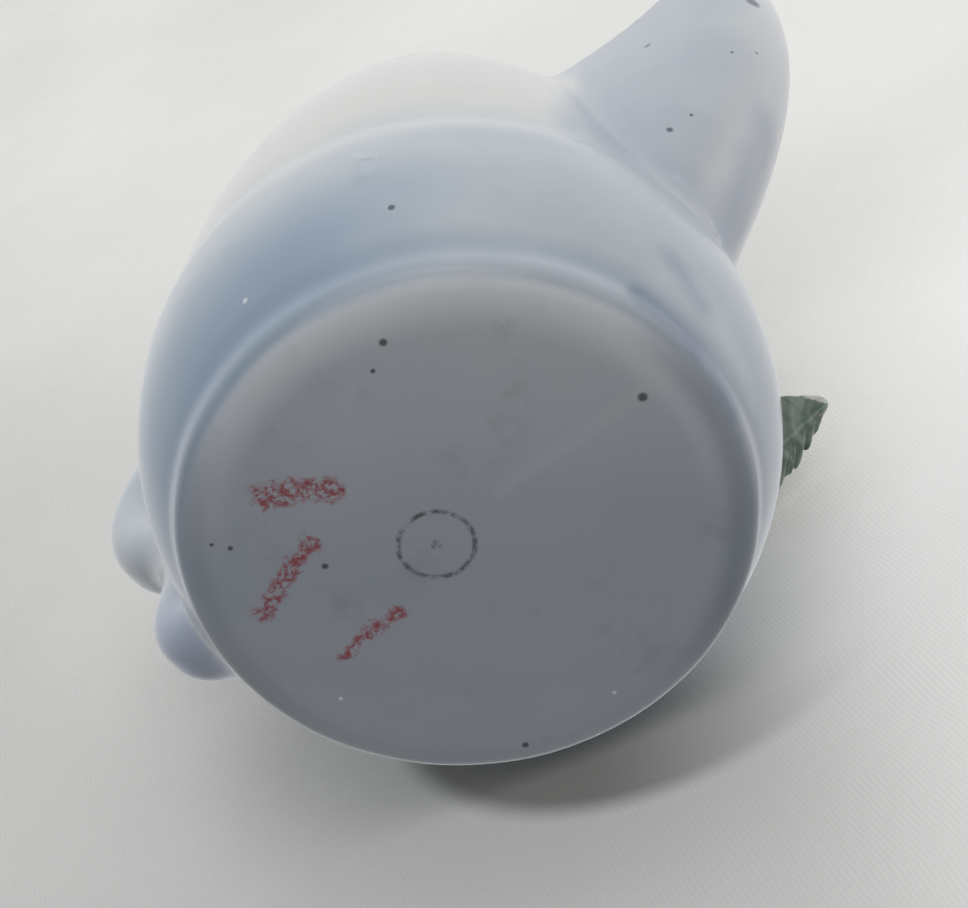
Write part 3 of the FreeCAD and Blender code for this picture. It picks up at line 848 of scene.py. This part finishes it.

# Straight courses of streaks, pools and wear in the glaze, and of the painted shade down the spout.
BLUE_STREAK = ((-21.6, 5.6, 6.9), (-21.2, 2.0, 5.2))
FOOT_POOLS = [((-19.0, 6.6, 2.2), (-20.0, 1.5, 1.8)), ((-20.0, 1.5, 1.8), (-19.4, -3.6, 1.2))]
STREAK = ((-17.0, 1.8, 0.0), (-3.9, 1.7, 0.0))
SPOUT_SHADE_COURSE = ((-29.4, -0.6, 30.6), (-23.2, -2.4, 20.5))
SPOUT_JOINT = ((-22.8, 3.6, 21.6), (-23.0, -0.8, 20.0))

# Bearings, in degrees, of the sides of the foot and belly that differ in colour: one bluer low down, one
# with painted light, two with painted shade.
BLUER_SIDE = 68
LIT_SIDE = 122
SHADE_SIDE = 208
FAR_SHADE_SIDE = 20

GLAZE_ROUGHNESS = 0.31


def spots(mat, base, places, name):
    """Small round marks.  Each place is x, y, z and the mark's radius."""
    for x, y, z, size in places:
        spot = mat.step(mat.from_place(x, y, z), size, size * 0.4)
        base = mat.tint(base, name, 0.85, spot)
    return base


def underside(mat):
    """1 on the flat underside, fading out over the rounded edge of the foot."""
    near_edge = mat.step(mat.from_axis(), FOOT_FLAT_RADIUS + 1.0, FOOT_FLAT_RADIUS - 0.5)
    return mat.times(mat.step(mat.z, 0.5, 0.15), near_edge)


def neck_reflection_mask(mat):
    """Painted reflection: up to 0.8 on the neck, which is painted near white for the bright light it
    reflects; not on the spout and handle.
    """
    centre = arc_centre((SHOULDER_RADIUS, SHOULDER_HEIGHT), (RIM_RADIUS, RIM_TOP - WALL / 2), NECK_CURVE)
    outward, upward = mat.less(mat.from_axis(), centre[0]), mat.less(mat.z, centre[1])
    proud_of_neck = mat.less(mat.length(outward, upward), NECK_CURVE)
    drift = mat.add(mat.z, mat.times(mat.noise(0.09, 2), 9.0))
    high = mat.step(drift, SHOULDER_HEIGHT - 1.0, SHOULDER_HEIGHT + 11.0, 0.0, 0.8)
    clear_of_spout = mat.step(mat.x, -19.4, -17.4)
    return mat.times(high, mat.step(proud_of_neck, 1.7, 0.2), clear_of_spout)


def painted_spout_light_and_shade(mat, base):
    """Painted light and shade on the spout: a lighter front and a greyer back, each running on over the neck
    just beside it.
    """
    high = mat.step(mat.z, 17.0, 24.0)
    # Painted light: the spout's front is lighter.
    front = mat.times(mat.step(mat.y, 5.5, -0.5), mat.step(mat.x, -14.0, -18.0))
    base = mat.tint(base, "painted_lit_spout_front", 0.8, front, high)
    # Painted shade: the spout's back and the neck beside it are greyer.
    back = mat.times(mat.step(mat.y, 4.0, 8.0), mat.step(mat.x, -18.0, -19.4))
    return mat.tint(base, "painted_shaded_spout_back", 0.55, back, high)


def low_glaze(mat, base):
    """Bluer glaze low down on one side, glaze pooled in the crease above the foot, and a bluer streak low on
    the belly.
    """
    # Bluer and darker low down on one side of the belly and foot.
    low = mat.step(mat.z, 16.0, 5.0)
    bluer_side = mat.step(mat.towards(BLUER_SIDE), 9.0, 20.0)
    base = mat.tint(base, "bluer_low_glaze", 0.8, low, bluer_side)
    from_crease = mat.math("ABSOLUTE", mat.less(mat.z, CREASE_HEIGHT + 0.5))
    off_the_base = mat.step(mat.from_axis(), CREASE_RADIUS - 0.9, CREASE_RADIUS - 0.3)
    base = mat.tint(base, "crease", 0.35, mat.step(from_crease, 2.0, 0.0), off_the_base)
    # A bluer streak low on the belly.
    return mat.run(base, "blue_streak", 0.4, BLUE_STREAK, 2.2, 0.4, mat.noise(0.5, 2))


def foot_edge(mat, base, flat):
    """The bare underside and the edge round it, with painted light on one side and painted shade on two
    others.
    """
    z, radius = mat.z, mat.from_axis()
    # Painted light: the underside and the foot's edge are lighter on the side facing the light.
    lit = mat.step(mat.towards(LIT_SIDE), -4.0, 20.0)
    bare = mat.mix(lit, colour("bare_base"), colour("lit_base"))
    base = mat.mix(mat.times(flat, 0.75), base, bare)
    near_edge = mat.step(radius, FOOT_FLAT_RADIUS - 3.3, FOOT_FLAT_RADIUS - 0.3)
    # Painted highlight along the foot's edge on the lit side, and painted shade over the rounding above it.
    base = mat.tint(base, "lit_edge", 0.9, near_edge, mat.step(z, 0.6, 0.1), lit)
    base = mat.tint(base, "rounding", 0.45, mat.step(z, 0.2, 0.6), mat.step(z, 2.2, 1.2), lit)
    outer = mat.step(radius, FOOT_FLAT_RADIUS - 1.9, FOOT_FLAT_RADIUS + 0.1)
    # Painted shade: the outer foot is darker on two sides.
    foot_shade = mat.times(mat.step(mat.towards(SHADE_SIDE), 11.0, 17.0), mat.step(z, 4.0, 2.2))
    base = mat.tint(base, "painted_shade_side", 0.6, foot_shade, outer)
    worn = mat.times(mat.step(mat.towards(FAR_SHADE_SIDE), 12.0, 18.0), mat.step(z, 2.4, 1.0))
    base = mat.tint(base, "painted_far_shade", 0.5, worn, outer)
    for course in FOOT_POOLS:
        base = mat.run(base, "foot_pool", 0.6, course, 2.0, 0.6, mat.times(mat.noise(0.5, 2), 0.8))
    return base


def marked_base(mat, base, flat):
    """Adds smudges, a pale streak, the potter's ring and the brush strokes to the underside."""
    smudge = mat.step(mat.noise(0.2, 5, 0.7, mat.moved(7, 2, 4)), 0.55, 0.78)
    base = mat.tint(base, "smudge", 0.28, smudge, flat)
    base = mat.run(base, "streak", 0.13, STREAK, 0.9, 0.2)
    from_centre = mat.from_place(*RING_CENTRE)
    line = mat.step(mat.math("ABSOLUTE", mat.less(from_centre, RING_RADIUS)), RING_HALF_LINE, 0.06)
    ink = mat.math("MAXIMUM", line, mat.step(from_centre, DOT_RADIUS, DOT_RADIUS / 2))
    worn = mat.step(mat.noise(0.9, 4, 0.65), 0.36, 0.62)
    base = mat.tint(base, "ring", 0.8, ink, worn, flat)
    dry = mat.step(mat.noise(1.7, 5, 0.75, mat.moved(3, 9, 0)), 0.4, 0.58)
    patchy = mat.times(mat.noise(0.5, 4, 0.7), 2.2)
    for start, end, half_width in STROKES:
        ragged = mat.add(mat.from_line(start, end), patchy)
        stroke = mat.step(ragged, half_width + 1.2, half_width + 0.6)
        base = mat.tint(base, "brush", 0.85, stroke, dry, flat)
    return base


def body_colour(mat, base, flat):
    base = low_glaze(mat, base)
    base = foot_edge(mat, base, flat)
    base = marked_base(mat, base, flat)
    base = spots(mat, base, BODY_SPECKS, "body_speck")
    return spots(mat, base, PALE_SPECKS, "pale_speck")


def added_colour(mat, base):
    """Painted shade down the spout's side, the spout's brushed joint with a pale line along it, and the
    handle's bluer tail, partly pooled glaze and partly painted shade.
    """
    wander = mat.times(mat.noise(0.3, 2), 1.6)
    # Painted shade: a violet-blue band down the spout's shaded side.
    base = mat.run(base, "painted_spout_flank_shade", 0.5, SPOUT_SHADE_COURSE, 4.0, 0.8, wander)
    base = mat.run(base, "joint", 0.15, SPOUT_JOINT, 4.2, 1.0, wander)
    # A pale thin line along the spout's root.
    base = mat.run(base, "pale_root_line", 0.5, SPOUT_JOINT, 0.55, 0.1)
    # The handle's tail is bluer and darker: partly glaze pooled there, partly painted shade.
    tail = mat.times(mat.step(mat.z, 16.0, 10.0), mat.step(mat.x, 10.0, 14.0))
    base = mat.tint(base, "handle_tail_pool_and_shade", 0.6, tail)
    return spots(mat, base, SPOUT_SPECKS, "spout_speck")


def blue_glaze(name, is_body):
    """Pale powder-blue glaze over white china: painted near white on the neck as a reflection, with painted
    light and shade on the spout, bluer low down and pooled in the crease, specked, uneven.
    """
    mat = Shader(name)
    cloudy = mat.step(mat.noise(0.06, 3), 0.35, 0.65)
    base = mat.mix(cloudy, colour("glaze"), colour("pale_glaze"))
    base = mat.tint(base, "deep_glaze", 0.22, mat.step(mat.noise(0.22, 3), 0.3, 0.75))
    # Painted reflection: the neck is mixed towards near white.
    base = mat.mix(neck_reflection_mask(mat), base, colour("painted_neck_reflection"))
    base = painted_spout_light_and_shade(mat, base)
    roughness = GLAZE_ROUGHNESS
    if is_body:
        flat = underside(mat)
        base = body_colour(mat, base, flat)
        roughness = mat.add(mat.times(flat, 0.2), GLAZE_ROUGHNESS)
    else:
        base = added_colour(mat, base)
    base = mat.tint(base, "small_speck", 0.7, mat.dots(3.4, 0.17, 0.03, 5.0))
    return mat.surface(base, roughness, mat.bump(mat.noise(0.3, 2), 0.15, 0.15))


def rose_enamel():
    """Pink enamel, deeper in the folds and brushed paler at the petals' edges."""
    mat = Shader("rose_enamel")
    out = ROSE_FRAME.to_quaternion() @ Vector((0, 0, 1))
    height = mat.less(mat.along(out), out.dot(ROSE_FRAME.translation))
    base = mat.mix(mat.step(height, 1.8, 6.2), colour("petal_root"), colour("petal_edge"))
    base = mat.tint(base, "petal_brushed", 0.5, mat.step(mat.noise(1.1, 4, 0.65), 0.35, 0.7))
    worn = mat.dots(1.6, 0.16, 0.25, 12.0)
    base = mat.tint(base, "bared_china", 0.7, worn, mat.step(height, 4.0, 5.5))
    roughness = mat.step(mat.noise(0.9, 3), 0.3, 0.7, 0.2, 0.34)
    normal = mat.bump(mat.noise(1.4, 3), 0.3, 0.12)
    return mat.surface(base, roughness, normal, coat=0.5, subsurface=0.1)


def leaf_enamel(name, placement):
    """Sage to dark green enamel with a paler midrib and white china bared along the edge."""
    mat = Shader(name)
    to_leaf = placement.inverted()
    length_on, side_on = [mat.add(mat.along(to_leaf[i][:3]), to_leaf[i][3]) for i in (0, 1)]
    from_midrib = mat.math("ABSOLUTE", side_on)
    patch = mat.step(mat.noise(0.35, 3), 0.38, 0.62)
    base = mat.mix(patch, colour("leaf_dark"), colour("leaf_sage"))
    # Painted light: the leaf is lighter on one side of its midrib.
    base = mat.tint(base, "leaf_lit", 0.6, mat.step(side_on, 1.0, -2.2))
    base = mat.tint(base, "leaf_rib", 0.45, mat.step(from_midrib, 0.3, 0.1))
    base = mat.tint(base, "leaf_wash", 0.35, mat.step(mat.noise(1.5, 4, 0.7), 0.4, 0.7))
    lens = mat.math("SINE", mat.times(length_on, math.pi / LEAF_LENGTH))
    to_edge = mat.less(mat.times(lens, LEAF_HALF_WIDTH), from_midrib)
    ragged = mat.add(to_edge, mat.times(mat.noise(1.3, 3, 0.6), 0.9))
    base = mat.tint(base, "leaf_edge", 0.85, mat.step(ragged, 0.8, 0.5))
    roughness = mat.step(mat.noise(0.9, 3), 0.3, 0.7, 0.22, 0.38)
    normal = mat.bump(mat.noise(1.8, 3), 0.3, 0.1)
    return mat.surface(base, roughness, normal, coat=0.4)


# ---- Camera and lights ----

# The camera looks steeply up at the base.  Angles are in degrees, distance and shifts in millimetres.
CAMERA_AZIMUTH = 212
CAMERA_ELEVATION = -60
CAMERA_ROLL = -6
CAMERA_DISTANCE = 150.0
CAMERA_RIGHT = 1.0
CAMERA_UP = 5.7
CAMERA_LENS = 82.9

# Three very large, weak, soft lights: name, direction and power.  Distance and size are in metres.
LIGHTS = [
    ("back_light", (-0.53, 0.85, 0.05), 0.36),
    ("front_light", (-0.85, -0.53, 0.05), 0.61),
    ("under_light", (-0.30, 0.80, -0.50), 1.36),
]
LIGHT_DISTANCE = 0.6
LIGHT_SIZE = 0.7

# The room's glow below and above, and as the camera sees it.
ROOM_BELOW = 0.205
ROOM_ABOVE = 0.975
ROOM_SEEN = 0.8


def make_camera():
    data = bpy.data.cameras.new("camera")
    data.lens = CAMERA_LENS
    data.clip_start = 0.005
    data.clip_end = 10
    camera = add_to_scene("camera", data)
    aim = turned("Z", CAMERA_AZIMUTH) @ turned("X", 90 - CAMERA_ELEVATION) @ turned("Z", CAMERA_ROLL)
    camera.matrix_world = aim @ Matrix.Translation(Vector((CAMERA_RIGHT, CAMERA_UP, CAMERA_DISTANCE)) * MM)
    bpy.context.scene.camera = camera


def area_light(name, direction, power):
    data = bpy.data.lights.new(name, "AREA")
    data.shape = "DISK"
    data.size = LIGHT_SIZE
    data.energy = power
    light = add_to_scene(name, data)
    direction = Vector(direction).normalized()
    light.location = direction * LIGHT_DISTANCE + Vector((0, 0, RIM_TOP / 2 * MM))
    light.rotation_mode = "QUATERNION"
    light.rotation_quaternion = (-direction).to_track_quat("-Z", "Y")


def make_room():
    """A pale room, brighter above than below."""
    world = bpy.data.worlds.new("room")
    world.use_nodes = True
    tree = world.node_tree
    direction = linked_node(tree, "TexCoord", {}).outputs["Generated"]
    height = linked_node(tree, "SeparateXYZ", {0: direction}).outputs[2]
    inputs = {"Value": height, "From Min": -0.2, "From Max": 0.9, "To Min": ROOM_BELOW, "To Max": ROOM_ABOVE}
    glow = linked_node(tree, "MapRange", inputs, interpolation_type="SMOOTHSTEP").outputs[0]
    seen = linked_node(tree, "LightPath", {}).outputs["Is Camera Ray"]
    strength = linked_node(tree, "Mix", {0: seen, 2: glow, 3: ROOM_SEEN}).outputs[0]
    background = tree.nodes["Background"]
    background.inputs["Color"].default_value = colour("room")
    tree.links.new(strength, background.inputs["Strength"])
    bpy.context.scene.world = world


# ---- Stage: floor and backdrop ----

# The backdrop is an upright cloth just behind the foot.  It faces OUT, and ACROSS runs level in it: up and
# to the right in the picture, roughly.
CLOTH_BEARING = math.radians(102)
CLOTH_OUT = Vector((math.cos(CLOTH_BEARING), math.sin(CLOTH_BEARING), 0))
CLOTH_ACROSS = Vector((-math.sin(CLOTH_BEARING), math.cos(CLOTH_BEARING), 0))
CLOTH_BEHIND = FOOT_RADIUS + 1.0
CLOTH_PITCH = 0.5
SHADE_CENTRE = CLOTH_ACROSS * 6.0 - CLOTH_OUT * CLOTH_BEHIND + Vector((0, 0, 15.6))

# Only a camera this steeply below sees the cloth.
STEEPLY_UP = -0.45

STAGE_HALF = 0.6        # metres
FLOOR_GAP = 0.0004      # metres


def stage_plane(name, corner, side, up, material):
    """A large flat sheet, seen by the camera but casting and reflecting nothing."""
    corners = [corner, corner + side, corner + side + up, corner + up]
    mesh = bpy.data.meshes.new(name)
    mesh.from_pydata(corners, [], [(0, 1, 2, 3)])
    mesh.materials.append(material)
    plane = add_to_scene(name, mesh)
    for ray in ("shadow", "diffuse", "glossy", "transmission"):
        setattr(plane, "visible_" + ray, False)


def floor_material():
    """Plain pale floor, clear from below so that a camera under it sees the base."""
    mat = Shader("pale_floor")
    facing_away = mat.node("NewGeometry", {}).outputs["Backfacing"]
    cloudy = mat.step(mat.noise(0.01, 3), 0.3, 0.7)
    base = mat.mix(cloudy, colour("floor"), colour("pale_floor"))
    return mat.matt_where(base, mat.bump(mat.noise(0.4, 3), 0.1, 0.2), mat.less(1.0, facing_away))


def cloth_weave(mat, across):
    """Crossing ribs, from -1 to 1."""
    warp = mat.times(mat.noise(0.05, 2), 3.0)
    turns = 2 * math.pi / CLOTH_PITCH
    rib = mat.times(mat.add(mat.z, mat.times(across, 0.35), warp), turns)
    cross_rib = mat.times(mat.add(across, mat.times(mat.z, -0.6), warp), turns)
    return mat.times(mat.math("SINE", rib), mat.math("SINE", cross_rib))


def cloth_shade(mat, base, across):
    """The jug's shade painted on the cloth: deep and sharp under the base, soft and weak around it."""
    from_centre = mat.from_place(*SHADE_CENTRE)
    under = mat.step(from_centre, 22.9, 20.2)
    deep = mat.step(across, -2.0, 19.0, 0.75, 0.1)
    low = mat.step(mat.add(mat.z, mat.times(across, 0.6)), 16.0, 6.5)
    base = mat.tint(base, "deep_shade", 1.0, under, deep, low)
    around = mat.step(from_centre, 42.0, 24.0)
    return mat.tint(base, "soft_shade", 1.0, around, mat.step(across, 0.0, 26.0, 0.25, 0.05))


def cloth_glow(mat, across):
    """A faint glow that grows upwards and to the right, where the lights reach the cloth too little."""
    rise = mat.add(mat.z, mat.times(across, 0.75))
    beside = mat.times(mat.step(across, 10.0, 30.0, 0.0, 0.18), mat.step(mat.z, 80.0, 30.0))
    return mat.add(mat.step(rise, -40.0, 160.0, 0.0, 0.36), beside)


def backdrop_material():
    """Pale woven cloth behind the jug."""
    mat = Shader("pale_cloth")
    across = mat.along(CLOTH_ACROSS)
    weave = cloth_weave(mat, across)
    cloudy = mat.step(mat.noise(0.02, 3), 0.35, 0.65)
    base = mat.mix(cloudy, colour("cloth"), colour("pale_cloth"))
    base = mat.tint(base, "weave", 0.14, mat.step(weave, 0.2, -1.0))
    base = cloth_shade(mat, base, across)
    folds = mat.bump(mat.noise(0.035, 2), 0.35, 5.0)
    normal = mat.bump(weave, 0.25, 0.08, folds)
    incoming = mat.node("NewGeometry", {}).outputs["Incoming"]
    steepness = mat.node("SeparateXYZ", {0: incoming}).outputs[2]
    seen = mat.math("LESS_THAN", steepness, STEEPLY_UP)
    return mat.matt_where(base, normal, seen, cloth_glow(mat, across))


def make_stage():
    side, up = Vector((2 * STAGE_HALF, 0, 0)), Vector((0, 2 * STAGE_HALF, 0))
    floor_corner = Vector((-STAGE_HALF, -STAGE_HALF, -FLOOR_GAP))
    stage_plane("floor", floor_corner, side, up, floor_material())
    behind = CLOTH_OUT * (-CLOTH_BEHIND * MM) - CLOTH_ACROSS * STAGE_HALF - Vector((0, 0, STAGE_HALF))
    side, up = CLOTH_ACROSS * (2 * STAGE_HALF), Vector((0, 0, 3 * STAGE_HALF))
    stage_plane("backdrop", behind, side, up, backdrop_material())


# ---- Put together ----

pieces = cast_jug()
pieces.update(applied_spray())

body_glaze = blue_glaze("blue_glaze_body", True)
added_glaze = blue_glaze("blue_glaze_added", False)
pink = rose_enamel()
leaf_places = {name: leaf_placement(*place) for name, *place in LEAVES}

for node, piece in pieces.items():
    if node in leaf_places:
        finish, slot = leaf_enamel(node + "_enamel", leaf_places[node]), "leaf_enamel"
    elif node == "jug_body":
        finish, slot = body_glaze, "blue_glaze"
    elif node in ("spout", "handle"):
        finish, slot = added_glaze, "blue_glaze"
    else:
        finish, slot = pink, "rose_enamel"
    piece.data.materials.append(finish)
    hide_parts(node)
    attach(piece, ROOT_BODY)

make_camera()
for name, direction, power in LIGHTS:
    area_light(name, direction, power)
make_room()
make_stage()
bpy.context.scene.view_settings.view_transform = "Standard"
